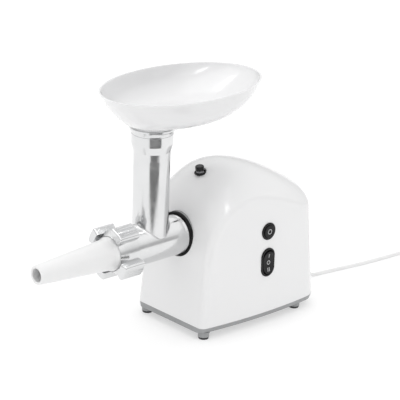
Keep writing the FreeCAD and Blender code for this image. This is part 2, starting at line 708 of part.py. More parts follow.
def motor_spacers():
    """Tubes on the motor's bolts that hold the stator and the rear bracket at their distances."""
    y0, y1 = ARMATURE_Y
    gaps = ((GEARBOX_Y[1] + COVER_T, y0), (y1, REAR_Y))
    return [ring_y(SPACER_R, 2.2, a, b, s * BOLT_X, MOTOR_Z) for a, b in gaps for s in (-1, 1)]


def brush_holders():
    """Square tubes beside the commutator, each on a collar round one of the motor's spacers."""
    y0, y1 = COMMUTATOR_Y
    tube = box((11.2, 26.0), (y0 + 1, y1 - 1), (MOTOR_Z - 5, MOTOR_Z + 5))
    collar = rod_y(5.4, y0 + 1, y1 - 1, BOLT_X, MOTOR_Z)
    room = box((10, 21), (y0 + 3, y1 - 3), (MOTOR_Z - 3, MOTOR_Z + 3))
    holder = joined(tube, collar).cut(room.fuse(rod_y(SPACER_R, y0, y1, BOLT_X, MOTOR_Z))).Solids[0]
    return holder, mirrored(holder)


def carbon_brushes():
    y0, y1 = COMMUTATOR_Y
    brush = box((COMMUTATOR_R, 20.8), (y0 + 3.1, y1 - 3.1), (MOTOR_Z - 2.9, MOTOR_Z + 2.9))
    brush = brush.cut(rod_y(COMMUTATOR_R + 0.05, y0 - 1, y1 + 1, *MOTOR_AT)).Solids[0]
    return brush, mirrored(brush)


# ---- grinding head ------------------------------------------------------------------------

def head_casting():
    """Barrel and feed tube in one casting, with a collar and a flared rim at the tube's top."""
    barrel_r = BARREL_R - 0.5
    barrel = turned_y([(0, BARREL_BACK_Y), (BARREL_R, BARREL_BACK_Y), (BARREL_R, 12.5), (barrel_r, 8.0),
                       (barrel_r, BARREL_FRONT_Y), (0, BARREL_FRONT_Y)])
    neck_r = TUBE_COLLAR_R - 0.7
    tube = turned_z([(0, BARREL_Z), (TUBE_R, BARREL_Z), (TUBE_R, 240.0), (TUBE_R + 0.4, 249.5),
                     (TUBE_COLLAR_R - 0.5, 257.5), (TUBE_COLLAR_R, 259.5), (TUBE_COLLAR_R, TUBE_RIM_Z - 1.6),
                     (neck_r, TUBE_RIM_Z - 1.0), (neck_r, TUBE_RIM_Z - 0.2),
                     (TUBE_COLLAR_R + 0.6, TUBE_RIM_Z + 0.4), (TUBE_RIM_R - 1.2, TUBE_RIM_Z + 3.2),
                     (TUBE_RIM_R, TUBE_TOP_Z - 2.6), (TUBE_RIM_R, TUBE_TOP_Z - 0.8),
                     (TUBE_RIM_R - 0.8, TUBE_TOP_Z), (0, TUBE_TOP_Z)], 0, TUBE_Y)
    body = barrel.fuse(tube)
    seam = []
    for edge in body.Edges:
        reach = edge.BoundBox
        round_tube = min(reach.XLength, reach.YLength) > 30
        if round_tube and BARREL_Z + 5 < reach.ZMin and reach.ZMax < BARREL_Z + 30:
            seam.append(edge)
    body = body.makeFillet(3.5, seam)
    plate_y = (BARREL_FRONT_Y - 1, BARREL_FRONT_Y + PLATE_T + 0.6)
    cuts = [rod_y(BARREL_BORE_R, BARREL_FRONT_Y - 1, 6.0),
            rod_y(PLATE_R + 0.05, *plate_y),
            rod_y(19.0, 14.0, BARREL_BACK_Y + 1),
            rod_y(9.0, 0, 20),
            rod_z(TUBE_BORE_R, BARREL_Z, TUBE_TOP_Z + 1, 0, TUBE_Y),
            box((-2.1, 2.1), plate_y, (BARREL_Z - 25.4, BARREL_Z - 22))]
    return body.cut(cuts[0].multiFuse(cuts[1:])).Solids[0]


def head_socket():
    """Sleeve that the head turns in, with a flange screwed to the gearbox."""
    y0, y1 = SOCKET_Y
    bore = BARREL_R + HEAD_GAP
    socket = joined(ring_y(SOCKET_R, bore, y0, y1), ring_y(37.0, bore, y1 - 2, y1))
    holes = [rod_y(1.6, y1 - 5, y1 + 1, x, z) for x, z in SOCKET_SCREWS]
    return socket.cut(holes[0].multiFuse(holes[1:])).Solids[0]


def socket_screws():
    seat = SOCKET_Y[1] - 2
    return [joined(rod_y(2.6, seat - 1.8, seat, x, z), rod_y(1.55, seat, seat + 4.6, x, z))
            for x, z in SOCKET_SCREWS]


def seal_ring():
    y0, y1 = SEAL_Y, SOCKET_Y[0]
    inner = BARREL_R + HEAD_GAP
    return turned_y([(inner, y1), (inner, y0 + 0.8), (inner + 0.5, y0),
                     (SOCKET_R - 0.8, y0), (SOCKET_R, y0 + 0.9), (SOCKET_R, y1)])


def square_bar(half, y0, y1):
    """Square bar along the barrel's axis."""
    return box((-half, half), (y0, y1), (BARREL_Z - half, BARREL_Z + half))


def auger():
    """Core with a rising screw flight, and a square tail at the back."""
    start_y, end_y = BARREL_FRONT_Y + PLATE_T + 8.0, 4.0
    core = turned_y([(0, start_y), (9.5, start_y), (8.2, -28), (7.6, end_y), (0, end_y)])
    helix = Part.makeLongHelix(17.0, end_y - start_y, 14.0, 0)
    helix.rotate(ORIGIN, X_AXIS, -90)
    helix.translate(V(0, start_y, BARREL_Z))
    first = helix.Edges[0].valueAt(helix.Edges[0].FirstParameter)
    out = V(first.x, 0, first.z - BARREL_Z).normalize()
    centre = V(0, first.y, BARREL_Z)
    corners = [centre + out * r + V(0, y, 0) for r, y in ((6.0, -3.0), (21.8, -1.5), (21.8, 1.5), (6.0, 3.0))]
    section = Part.makePolygon(corners + corners[:1])
    flight = helix.makePipeShell([section], True, True)
    screw = core.fuse(flight)
    keep = rod_y(21.9, start_y, end_y)
    collar = rod_y(8.4, end_y - 1, 16.0)
    tail = square_bar(TAIL_HALF, 14, DRIVE_Y[0] + 6.0)
    nose = square_bar(4.5, BARREL_FRONT_Y + PLATE_T + 0.6, start_y + 2)
    tip = rod_y(3.9, BARREL_FRONT_Y - 0.5, start_y)
    return screw.common(keep).multiFuse([collar, tail, nose, tip]).Solids[0]


def cross_blade():
    y0 = BARREL_FRONT_Y + PLATE_T + 0.8
    y1 = y0 + 6.0
    blade = rod_y(9.5, y0, y1)
    for i in range(4):
        arm = prism_y([(-4.0, BARREL_Z + 4), (3.2, BARREL_Z + 4),
                       (4.6, BARREL_Z + 21.0), (-1.2, BARREL_Z + 21.6)], y0, y1)
        bevel = prism_y([(-9.0, BARREL_Z + 9), (-3.2, BARREL_Z + 9),
                         (1.2, BARREL_Z + 24), (-9.0, BARREL_Z + 24)], y0 + 2.5, y1 + 1)
        arm = arm.cut(bevel)
        arm.rotate(V(0, 0, BARREL_Z), Y_AXIS, 90 * i)
        blade = blade.fuse(arm)
    return blade.cut(square_bar(4.6, y0 - 1, y1 + 1)).removeSplitter().Solids[0]


def grinding_plate():
    y0 = BARREL_FRONT_Y + 0.2
    plate = rod_y(PLATE_R, y0, y0 + PLATE_T)
    holes = [rod_y(4.0, y0 - 1, y0 + PLATE_T + 1)]
    for count, circle in ((8, 8.6), (14, 14.0), (20, 19.6)):
        holes += ring_of_holes(count, 2.1, circle, OUTPUT_AT, (y0, y0 + PLATE_T))
    key = box((-1.9, 1.9), (y0, y0 + PLATE_T), (BARREL_Z - 25.2, BARREL_Z - 23))
    return plate.cut(holes[0].multiFuse(holes[1:])).fuse(key).removeSplitter().Solids[0]


def ring_nut():
    bore = BARREL_R + HEAD_GAP
    sleeve = turned_y([(bore, NUT_BACK_Y), (NUT_R - 1, NUT_BACK_Y), (NUT_R, NUT_BACK_Y - 1),
                       (NUT_R, NUT_EDGE_Y + 3.0), (NUT_R - 2.2, NUT_EDGE_Y), (NUT_MOUTH_R + 0.5, NUT_FRONT_Y),
                       (NUT_MOUTH_R, NUT_FRONT_Y + 0.6), (NUT_MOUTH_R, NUT_LIP_Y), (bore, NUT_LIP_Y)])
    lugs = []
    for angle in LUG_ANGLES:
        lug = lug_block()
        lug.rotate(V(0, 0, BARREL_Z), Y_AXIS, angle)
        lugs.append(lug)
    return sleeve.multiFuse(lugs).Solids[0]


def lug_block():
    """One grip lug at the top of the nut, grooved along its outer face."""
    reach = 60.0
    across = reach * math.sin(math.radians(LUG_HALF_ANGLE))
    top = BARREL_Z + reach * math.cos(math.radians(LUG_HALF_ANGLE))
    wedge = prism_y([(0, BARREL_Z), (-across, top), (across, top)], LUG_TIP_Y, NUT_BACK_Y)
    lug = ring_y(LUG_R, NUT_R - 1.2, LUG_TIP_Y, NUT_BACK_Y - 0.4).common(wedge)
    outer_z = BARREL_Z + NUT_R + 2
    sides = [e for e in lug.Edges if e.BoundBox.YLength > 20 and e.BoundBox.ZMax > outer_z + 1]
    lug = lug.makeFillet(3.6, sides)
    tip = [e for e in lug.Edges if e.BoundBox.YMax < LUG_TIP_Y + 0.1 and e.BoundBox.ZMax > outer_z]
    lug = lug.makeFillet(2.6, tip)
    grooves = []
    for i in (-1, 0, 1):
        groove = rod_y(0.9, LUG_TIP_Y + 9.0, NUT_BACK_Y + 1, 0, BARREL_Z + LUG_R + 0.25)
        groove.rotate(V(0, 0, BARREL_Z), Y_AXIS, 7.0 * i)
        grooves.append(groove)
    return lug.cut(grooves[0].multiFuse(grooves[1:]))


def sausage_nozzle():
    """Hollow cone with a flange that the nut holds against the barrel."""
    y = NUT_FRONT_Y
    tip = NOZZLE_TIP_Y
    return turned_y([(19.4, FLANGE_Y[1]), (FLANGE_R, FLANGE_Y[1]), (FLANGE_R, FLANGE_Y[0]),
                     (NOZZLE_R, FLANGE_Y[0]), (NOZZLE_R, y - 0.2), (NOZZLE_R - 0.5, y - 2.0),
                     (NOZZLE_R - 1.4, y - 4.2), (NOZZLE_R - 2.0, y - 7.0),
                     (NOZZLE_TIP_R, tip + 1.2), (NOZZLE_TIP_R - 1.2, tip), (NOZZLE_BORE_R + 1, tip),
                     (NOZZLE_BORE_R, tip + 1.0), (16.6, y - 8.0), (19.0, y - 2.0)])


# ---- tray ---------------------------------------------------------------------------------

def oval_wire(z, front, back, half_width, inset):
    """Level oval of the tray."""
    middle = (front + back) / 2
    along = (back - front) / 2 - inset
    across = half_width - inset
    ellipse = Part.Ellipse(V(0, middle + along, z), V(across, middle, z), V(0, middle, z))
    return Part.Wire([ellipse.toShape()])


def tray():
    """Deep oval bowl with a round neck that drops into the feed tube."""
    outer = Part.makeLoft([oval_wire(*section, 0.0) for section in TRAY_SECTIONS], True, False)
    inner_sections = [oval_wire(*section, TRAY_T) for section in TRAY_SECTIONS[:2]]
    inner_sections += [oval_wire(z + TRAY_T * 0.8, f, b, w, TRAY_T) for z, f, b, w in TRAY_SECTIONS[2:]]
    inner = Part.makeLoft(inner_sections, True, False)
    floor_z = TRAY_SECTIONS[-1][0] + 3.0
    collar = rod_z(27.5, TUBE_TOP_Z + 0.03, floor_z, 0, TUBE_Y)
    neck = rod_z(NECK_R, NECK_Z, floor_z, 0, TUBE_Y)
    body = outer.multiFuse([collar, neck]).cut(inner)
    body = body.cut(rod_z(NECK_BORE_R, NECK_Z - 1, TRAY_SECTIONS[0][0], 0, TUBE_Y))
    return body.Solids[0]


# ---- controls -----------------------------------------------------------------------------

def button_bezel():
    x = panel_x(BUTTON_Z)
    rim = rod_x(BEZEL_R, x - BEZEL_SEAT, x + BEZEL_PROUD, CONTROL_Y, BUTTON_Z)
    rim = rim.makeFillet(0.9, [e for e in rim.Edges if e.BoundBox.XMin > x + BEZEL_PROUD - 0.1])
    sleeve = rod_x(BEZEL_R - 1.7, x - SWITCH_DEPTH, x, CONTROL_Y, BUTTON_Z)
    opening = rod_x(BUTTON_R + 0.3, x - 20, x + 5, CONTROL_Y, BUTTON_Z)
    return rim.fuse(sleeve).cut(opening).removeSplitter().Solids[0]


def push_button():
    """Cap with a dished face on a stem."""
    x = panel_x(BUTTON_Z)
    cap = rod_x(BUTTON_R, x - BUTTON_STEM, x + BEZEL_PROUD + 1.6, CONTROL_Y, BUTTON_Z)
    cap = cap.makeFillet(1.0, [e for e in cap.Edges if e.BoundBox.XMin > x + BEZEL_PROUD])
    dish = Part.makeSphere(40, V(x + BEZEL_PROUD + 1.2 + 40, CONTROL_Y, BUTTON_Z))
    stem = rod_x(3.0, x - SWITCH_DEPTH, x - BUTTON_STEM, CONTROL_Y, BUTTON_Z)
    return cap.cut(dish).fuse(stem).removeSplitter().Solids[0]


def button_spring():
    x = panel_x(BUTTON_Z)
    sleeve = rod_x(5.6, x - SWITCH_DEPTH, x - BUTTON_STEM, CONTROL_Y, BUTTON_Z)
    return sleeve.cut(rod_x(3.6, x - SWITCH_DEPTH - 1, x, CONTROL_Y, BUTTON_Z))


def button_switch():
    x = panel_x(BUTTON_Z)
    body = box((x - 30, x - SWITCH_DEPTH), (CONTROL_Y - 10, CONTROL_Y + 10), (BUTTON_Z - 10, BUTTON_Z + 10))
    body = body.cut(rod_x(3.4, x - 16, x - 11, CONTROL_Y, BUTTON_Z))
    tab_z = (BUTTON_Z - 2.4, BUTTON_Z + 2.4)
    tabs = [box((x - 36, x - 30), (y - 0.4, y + 0.4), tab_z) for y in spread(2, 12, CONTROL_Y)]
    return body.multiFuse(tabs).removeSplitter().Solids[0]


def rocker_axle(r, reach):
    """Round bar on the rocker's tilt axis."""
    return rod_y(r, CONTROL_Y - reach, CONTROL_Y + reach, panel_x(ROCKER_Z) - ROCKER_PIN_DEPTH, ROCKER_Z)


def rocker_bezel():
    x = panel_x(ROCKER_Z)
    rim = pill_x(BEZEL_R, x - BEZEL_SEAT, x + BEZEL_PROUD)
    rim = rim.makeFillet(0.9, [e for e in rim.Edges if e.BoundBox.XMin > x + BEZEL_PROUD - 0.1])
    sleeve = pill_x(BEZEL_R - 1.7, x - SWITCH_DEPTH, x)
    bezel = rim.fuse(sleeve).cut(pill_x(BUTTON_R + 0.4, x - 20, x + 5))
    return bezel.cut(rocker_axle(ROCKER_PIN_R, ROCKER_PIN_HALF)).removeSplitter().Solids[0]


def rocker_switch():
    """Rocker with a shallow hollow face, shorter than its opening, tilting about an axis along Y."""
    x = panel_x(ROCKER_Z)
    body = pill_x(BUTTON_R, x - 7, x + BEZEL_PROUD + 1.5, BEZEL_HALF_LENGTH - 1.5)
    hollow = rod_y(62, CONTROL_Y - 20, CONTROL_Y + 20, x + BEZEL_PROUD + 0.2 + 62, ROCKER_Z)
    return body.cut(hollow).cut(rocker_axle(ROCKER_PIN_R + 0.05, 20)).Solids[0]


def rocker_pin():
    return rocker_axle(ROCKER_PIN_R, ROCKER_PIN_HALF)


def rocker_body():
    x = panel_x(ROCKER_Z)
    body = box((x - 31, x - SWITCH_DEPTH), (CONTROL_Y - 9, CONTROL_Y + 9), (ROCKER_Z - 17, ROCKER_Z + 17))
    tab_y = (CONTROL_Y - 2.4, CONTROL_Y + 2.4)
    tabs = [box((x - 35, x - 31), tab_y, (z - 0.4, z + 0.4)) for z in spread(3, 11, ROCKER_Z)]
    return body.multiFuse(tabs).removeSplitter().Solids[0]


def circuit_board():
    board = box((BOARD_X, BOARD_X + 1.6), BOARD_Y, BOARD_Z)
    holes = [rod_x(1.5, BOARD_X - 1, BOARD_X + 3, y, z) for y in BOARD_POST_Y for z in BOARD_POST_Z]
    return board.cut(holes[0].multiFuse(holes[1:]))


def board_parts():
    """Capacitor, relay, choke and terminal block on the board."""
    x = BOARD_X + 1.6
    capacitor = box((x, x + 13), (112, 138), (76, 94))
    relay = box((x, x + 12), (146, 160), (72, 100))
    choke = rod_x(8.0, x, x + 9, 124, 110).cut(rod_x(3.6, x - 1, x + 10, 124, 110))
    terminals = box((x, x + 10), (140, 158), (112, 121))
    return capacitor, relay, choke, terminals


# ---- release knob -------------------------------------------------------------------------

def along_knob(shape):
    """Tilts an upright shape made about the origin, and sets it at the knob's foot."""
    shape.rotate(ORIGIN, X_AXIS, KNOB_TILT)
    shape.translate(V(0, KNOB_Y, KNOB_Z))
    return shape


def release_bush():
    """Flanged guide in the housing, with the knob's seat on top."""
    bush = turned_z([(3.35, -9.0), (4.9, -9.0), (4.9, 0.0), (7.6, 0.0), (7.6, 1.6), (6.9, 2.2),
                     (6.3, 2.2), (6.3, 0.7), (3.35, 0.7)])
    return along_knob(bush)


def release_knob():
    """Round cap with a short skirt, on a stem."""
    skirt_r = KNOB_R - 0.8
    cap = turned_z([(0, -11.5), (3.2, -11.5), (3.2, 5.0), (skirt_r, 5.0), (skirt_r, 4.7),
                    (KNOB_R, 4.7), (KNOB_R, 9.4), (KNOB_R - 0.9, 10.4), (0, 10.4)])
    return along_knob(cap)


def release_spring():
    return along_knob(ring_z(5.0, 3.7, 0.7, 4.6))


# ---- cord ---------------------------------------------------------------------------------

def cord_tube(route, radius):
    """Round tube of straight runs and tangent arcs, with its middle line's length and its arcs' radii."""
    points = [V(*p) for p in route]
    edges = []
    radii = []
    start = points[0]
    for before, corner, after in zip(points, points[1:], points[2:]):
        into = (corner - before).normalize()
        out = (after - corner).normalize()
        half_turn = into.getAngle(out) / 2
        setback = 0.45 * min((corner - before).Length, (after - corner).Length)
        radii.append(setback / math.tan(half_turn))
        a = corner - into * setback
        b = corner + out * setback
        inner = (out - into).normalize()
        centre = corner + inner * (radii[-1] / math.cos(half_turn))
        middle = centre + (corner - centre).normalize() * radii[-1]
        edges += [Part.LineSegment(start, a).toShape(), Part.Arc(a, middle, b).toShape()]
        start = b
    edges.append(Part.LineSegment(start, points[-1]).toShape())
    path = Part.Wire(edges)
    along = (points[1] - points[0]).normalize()
    ring = Part.Wire([Part.Circle(points[0], along, radius).toShape()])
    tube = path.makePipeShell([ring], True, False)
    return tube, path.Length, radii


def strain_relief():
    """Tapered, ribbed sleeve at the back of the housing, with a flange on the wall's inner and outer side."""
    wall_y = BACK_Y - (GLAND_Z - SHELL_Z) * math.tan(BACK_LEAN)
    points = [(0, wall_y - 8), (7.0, wall_y - 8), (7.0, wall_y - 4), (5.0, wall_y - 4),
              (5.0, wall_y + 0.9), (6.6, wall_y + 0.9), (6.6, wall_y + 2.4), (5.0, wall_y + 3.0)]
    ribs = 4
    length = (GLAND_TIP_Y - wall_y - 3.0) / ribs
    for i in range(ribs):
        y = wall_y + 3.0 + i * length
        r = 4.9 - 0.42 * i
        points += [(r, y + length * 0.62), (r - 0.7, y + length * 0.7),
                   (r - 0.7, y + length * 0.94), (r - 0.35, y + length)]
    return turned_y(points + [(0, GLAND_TIP_Y)], 0, GLAND_Z)


def cord_coil():
    """Closed ring with the coil's outer size."""
    x, y = COIL_CENTRE
    low, high = 0.1, COIL_HEIGHT
    inner, outer = COIL_R - COIL_HALF_WIDTH, COIL_R + COIL_HALF_WIDTH
    return turned_z([(inner, low + 2), (inner + 2, low), (outer - 2, low), (outer, low + 2),
                     (outer, high - 2), (outer - 2, high), (inner + 2, high), (inner, high - 2)], x, y)


def cord_tail():
    """Straight end of the cord, from the coil to the plug."""
    x, y = COIL_CENTRE
    return rod_y(CORD_R, PLUG_BACK_Y, y, x + COIL_R, PLUG_Z).cut(cord_coil()).Solids[0]


def plug():
    """Flat two-pin plug, lying on its wide side, with a tapered cord entry."""
    x = COIL_CENTRE[0] + COIL_R
    half = PLUG_Z - 0.05
    back, face = PLUG_BACK_Y, PLUG_FACE_Y
    outline = [(4.0, back), (5.4, back - 12), (12.0, back - 20),
               (13.0, face + 12), (17.6, face + 2), (17.6, face)]
    outline += [(-w, y) for w, y in reversed(outline)]
    wire = Part.makePolygon([V(x + w, y, PLUG_Z - half) for w, y in outline + outline[:1]])
    body = Part.Face(wire).extrude(V(0, 0, 2 * half))
    profile = [(half, face), (half, back - 20), (4.4, back - 9), (3.4, back)]
    profile += [(-h, y) for h, y in reversed(profile)]
    body = body.common(prism_x([(y, PLUG_Z + h) for h, y in profile], x - 30, x + 30))
    long_edges = [e for e in body.Edges if e.BoundBox.YLength > 7 and e.BoundBox.YMax < back - 8]
    return body.makeFillet(2.0, long_edges).Solids[0]


def plug_pins():
    x = COIL_CENTRE[0] + COIL_R
    face = PLUG_FACE_Y
    profile = [(0, face - 19), (1.2, face - 19), (2.0, face - 17.6), (2.0, face), (0, face)]
    return [turned_y(profile, x + side * 9.3, PLUG_Z) for side in (-1, 1)]


def cord_tie():
    """Band round the coil's far side."""
    x, y = COIL_CENTRE[0], COIL_CENTRE[1] + COIL_R
    reach = COIL_HALF_WIDTH
    outer = box((x - 4, x + 4), (y - reach - 1, y + reach + 1), (0.0, COIL_HEIGHT + 1.0))
    edges = [e for e in outer.Edges if e.BoundBox.XLength > 7 and e.BoundBox.ZMin > 5]
    inner = box((x - 5, x + 5), (y - reach + 0.5, y + reach - 0.5), (0.1, COIL_HEIGHT))
    band = outer.makeFillet(0.8, edges).cut(inner).cut(cord_coil())
    return max(band.Solids, key=lambda solid: solid.Volume)


# ---- the nodes ----------------------------------------------------------------------------

os.makedirs("parts", exist_ok=True)

export("housing_shell", housing_shell())
export("base_plate", base_plate())
export("feet", *feet())
export("foot_pads", *foot_pads())
export("base_screws", *base_screws())

export("gearbox_housing", gearbox_housing())
export("gearbox_cover", gearbox_cover())
export("gearbox_screws", *gearbox_screws())
export("bushes", *bushes())
export("gear_pins", *gear_pins())
export("stage_one_gears", cluster(STAGE_1, PHASE_1, PLANE_1, STAGE_2, 0.0, PLANE_2, PIN_ONE_AT))
export("stage_two_gears", cluster(STAGE_2, PHASE_2, PLANE_2, STAGE_3, 0.0, PLANE_3, PIN_TWO_AT))
export("output_gear", output_gear())
export("output_shaft", output_shaft())

export("motor_stator", motor_stator())
export("field_coils", *field_coils())
export("armature", armature())
export("armature_windings", *armature_windings())
export("commutator", commutator())
export("rotor_shaft", rotor_shaft())
export("cooling_fan", cooling_fan())
export("rear_bracket", rear_bracket())
export("motor_bolts", *motor_bolts())
export("motor_spacers", *motor_spacers())
export("brush_holders", *brush_holders())
export("carbon_brushes", *carbon_brushes())

export("head_socket", head_socket())
export("socket_screws", *socket_screws())
export("seal_ring", seal_ring())
export("head_casting", head_casting())
export("auger", auger())
export("cross_blade", cross_blade())
export("grinding_plate", grinding_plate())
export("ring_nut", ring_nut())
export("sausage_nozzle", sausage_nozzle())
export("tray", tray())

export("button_bezel", button_bezel())
export("push_button", push_button())
export("button_spring", button_spring())
export("button_switch", button_switch())
export("rocker_bezel", rocker_bezel())
export("rocker_switch", rocker_switch())
export("rocker_pin", rocker_pin())
export("rocker_body", rocker_body())
export("circuit_board", circuit_board())
export("board_parts", *board_parts())

export("release_bush", release_bush())
export("release_knob", release_knob())
export("release_spring", release_spring())

export("strain_relief", strain_relief())
tube, tube_length, tube_radii = cord_tube(CORD_ROUTE, CORD_R)
export("power_cord", tube.cut(cord_coil()).Solids[0])
export("cord_coil", cord_coil())
export("cord_tail", cord_tail())
export("cord_tie", cord_tie())
export("plug", plug())
export("plug_pins", *plug_pins())
ratio = tube.Volume / (math.pi * CORD_R ** 2 * tube_length)
print("cord tube:", round(tube_length, 1), "mm long, volume over section times length:", round(ratio, 4))
print("cord tube arc radii:", [round(r) for r in tube_radii])
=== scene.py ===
"""Looks, cord, springs, printed marks, floor, light and camera of the electric meat grinder.

Lengths are in metres, in the CAD model's frame: the nozzle points towards -Y, and +Z is up.
"""
import math

import bmesh
import bpy
from mathutils import Matrix, Vector
from mathutils.bvhtree import BVHTree


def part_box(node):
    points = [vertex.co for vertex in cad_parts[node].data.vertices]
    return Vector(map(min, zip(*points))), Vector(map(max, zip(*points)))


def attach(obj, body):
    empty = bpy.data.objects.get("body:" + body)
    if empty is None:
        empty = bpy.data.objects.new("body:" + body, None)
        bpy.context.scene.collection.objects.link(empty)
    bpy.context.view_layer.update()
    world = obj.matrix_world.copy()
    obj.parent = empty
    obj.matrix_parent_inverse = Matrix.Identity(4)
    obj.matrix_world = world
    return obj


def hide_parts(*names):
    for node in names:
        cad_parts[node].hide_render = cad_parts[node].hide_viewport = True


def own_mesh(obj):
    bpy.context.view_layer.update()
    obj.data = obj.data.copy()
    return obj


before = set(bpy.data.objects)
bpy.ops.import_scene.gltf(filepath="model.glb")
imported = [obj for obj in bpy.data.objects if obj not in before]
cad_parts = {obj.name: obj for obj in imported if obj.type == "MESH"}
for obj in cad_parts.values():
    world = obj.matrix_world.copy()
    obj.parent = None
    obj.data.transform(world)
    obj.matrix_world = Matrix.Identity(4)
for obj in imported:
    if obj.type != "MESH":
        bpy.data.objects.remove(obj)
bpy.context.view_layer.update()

EVEN = (1.0, 1.0, 1.0)
WHITE = (1.0, 1.0, 1.0, 1.0)
# Sockets of a Mix node set to colours, by number because several share a name.
MIX_FACTOR, MIX_FIRST, MIX_SECOND, MIX_RESULT = 0, 6, 7, 2


def centre(node):
    low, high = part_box(node)
    return [(a + b) / 2 for a, b in zip(low, high)]


def add_object(name, data):
    piece = bpy.data.objects.new(name, data)
    bpy.context.scene.collection.objects.link(piece)
    return piece


def add_mesh(name, mesh, material, smooth=False):
    """New object from a bmesh, which is used up."""
    bmesh.ops.recalc_face_normals(mesh, faces=mesh.faces)
    data = bpy.data.meshes.new(name)
    mesh.to_mesh(data)
    mesh.free()
    if smooth:
        data.shade_smooth()
    data.materials.append(material)
    return add_object(name, data)


# ---- material helpers ---------------------------------------------------------------------

def new_material(name, color, roughness, metallic=0.0, **sockets):
    """Principled material; sockets are given by the shader's socket names with underscores."""
    material = bpy.data.materials.new(name)
    material.use_nodes = True
    shader = shader_of(material)
    shader.inputs["Base Color"].default_value = (*color, 1.0)
    shader.inputs["Roughness"].default_value = roughness
    shader.inputs["Metallic"].default_value = metallic
    for socket, value in sockets.items():
        shader.inputs[socket.replace("_", " ")].default_value = value
    return material


def shader_of(material):
    return material.node_tree.nodes["Principled BSDF"]


def add_node(material, kind, **values):
    """New node; values are for its properties or, by name with underscores, its sockets."""
    node = material.node_tree.nodes.new(kind)
    for key, value in values.items():
        if hasattr(node, key):
            setattr(node, key, value)
        else:
            node.inputs[key.replace("_", " ")].default_value = value
    return node


def link(material, source, target):
    material.node_tree.links.new(source, target)


def place_of(material, stretch=EVEN):
    """Object coordinates in metres, stretched along the axes."""
    coordinates = add_node(material, "ShaderNodeTexCoord")
    mapping = add_node(material, "ShaderNodeMapping", Scale=stretch)
    link(material, coordinates.outputs["Object"], mapping.inputs["Vector"])
    return mapping.outputs["Vector"]


def noise(material, scale, detail=3.0, stretch=EVEN, roughness=0.5):
    texture = add_node(material, "ShaderNodeTexNoise", Scale=scale, Detail=detail, Roughness=roughness)
    link(material, place_of(material, stretch), texture.inputs["Vector"])
    return texture.outputs["Fac"]


def waves(material, direction, **sockets):
    """Bands that follow one another along the direction."""
    texture = add_node(material, "ShaderNodeTexWave", bands_direction=direction, **sockets)
    link(material, place_of(material), texture.inputs["Vector"])
    return texture.outputs["Fac"]


def spread_to(material, source, low, high, source_low=0.3, source_high=0.7):
    """Maps a texture's middle range onto low..high."""
    ramp = add_node(material, "ShaderNodeMapRange", From_Min=source_low, From_Max=source_high,
                    To_Min=low, To_Max=high)
    link(material, source, ramp.inputs["Value"])
    return ramp.outputs["Result"]


def vary_roughness(material, source, low, high):
    link(material, spread_to(material, source, low, high), shader_of(material).inputs["Roughness"])


def vary_color(material, source, first, second, source_low=0.3, source_high=0.7):
    mix = add_node(material, "ShaderNodeMix", data_type="RGBA")
    mix.inputs[MIX_FIRST].default_value = (*first, 1.0)
    mix.inputs[MIX_SECOND].default_value = (*second, 1.0)
    amount = spread_to(material, source, 0.0, 1.0, source_low, source_high)
    link(material, amount, mix.inputs[MIX_FACTOR])
    link(material, mix.outputs[MIX_RESULT], shader_of(material).inputs["Base Color"])


def bumps(material, *layers):
    """Stacked bump layers, each (height source, depth in metres, strength)."""
    normal = None
    for height, depth, strength in layers:
        bump = add_node(material, "ShaderNodeBump", Distance=depth, Strength=strength)
        link(material, height, bump.inputs["Height"])
        if normal is not None:
            link(material, normal, bump.inputs["Normal"])
        normal = bump.outputs["Normal"]
    link(material, normal, shader_of(material).inputs["Normal"])


def tint(color, factor):
    return [min(channel * factor, 1.0) for channel in color]


# ---- materials ----------------------------------------------------------------------------

def glossy_white():
    """Moulded glossy ABS: faint flow waviness and a fine speckle in the gloss."""
    material = new_material("glossy_white", (0.806, 0.806, 0.81), 0.24, IOR=1.52, Coat_Weight=0.35,
                            Coat_Roughness=0.07)
    vary_color(material, noise(material, 9.0, 4.0), (0.800, 0.800, 0.804), (0.812, 0.812, 0.815))
    vary_roughness(material, noise(material, 40.0, 5.0), 0.20, 0.27)
    bumps(material, (noise(material, 10.0, 1.0), 0.0012, 0.06),
          (noise(material, 700.0, 2.0), 0.00001, 0.10))
    return material


def tray_white():
    """Slightly see-through polypropylene."""
    material = new_material("tray_white", (0.76, 0.76, 0.765), 0.22, IOR=1.49,
                            Subsurface_Weight=0.2, Subsurface_Radius=(0.006, 0.006, 0.006),
                            Subsurface_Scale=0.6, Coat_Weight=0.7, Coat_Roughness=0.03)
    vary_color(material, noise(material, 12.0, 3.0), (0.75, 0.75, 0.755), (0.77, 0.77, 0.775))
    vary_roughness(material, noise(material, 220.0, 4.0), 0.17, 0.27)
    bumps(material, (noise(material, 22.0, 1.0), 0.0008, 0.12),
          (noise(material, 1800.0, 2.0), 0.00002, 0.2))
    return material


def nozzle_white():
    """Satin polypropylene with faint rings from its mould."""
    material = new_material("nozzle_white", (0.81, 0.81, 0.81), 0.34, IOR=1.49,
                            Subsurface_Weight=0.12, Subsurface_Radius=(0.005, 0.005, 0.005),
                            Subsurface_Scale=0.5)
    vary_color(material, noise(material, 18.0, 3.0), (0.795, 0.795, 0.797), (0.82, 0.82, 0.82))
    vary_roughness(material, noise(material, 260.0, 4.0), 0.28, 0.42)
    bumps(material, (noise(material, 60.0, 2.0, (0.05, 12.0, 0.05)), 0.00006, 0.25),
          (noise(material, 1600.0, 2.0), 0.00002, 0.3))
    return material


def satin_grey():
    """Fine spark-eroded grey plastic of the base, the feet and the head's socket."""
    material = new_material("satin_grey", (0.30, 0.305, 0.31), 0.42, IOR=1.5)
    vary_color(material, noise(material, 30.0, 4.0), (0.285, 0.29, 0.295), (0.325, 0.33, 0.335))
    vary_roughness(material, noise(material, 300.0, 3.0), 0.36, 0.50)
    bumps(material, (noise(material, 1400.0, 4.0), 0.00005, 0.5))
    return material


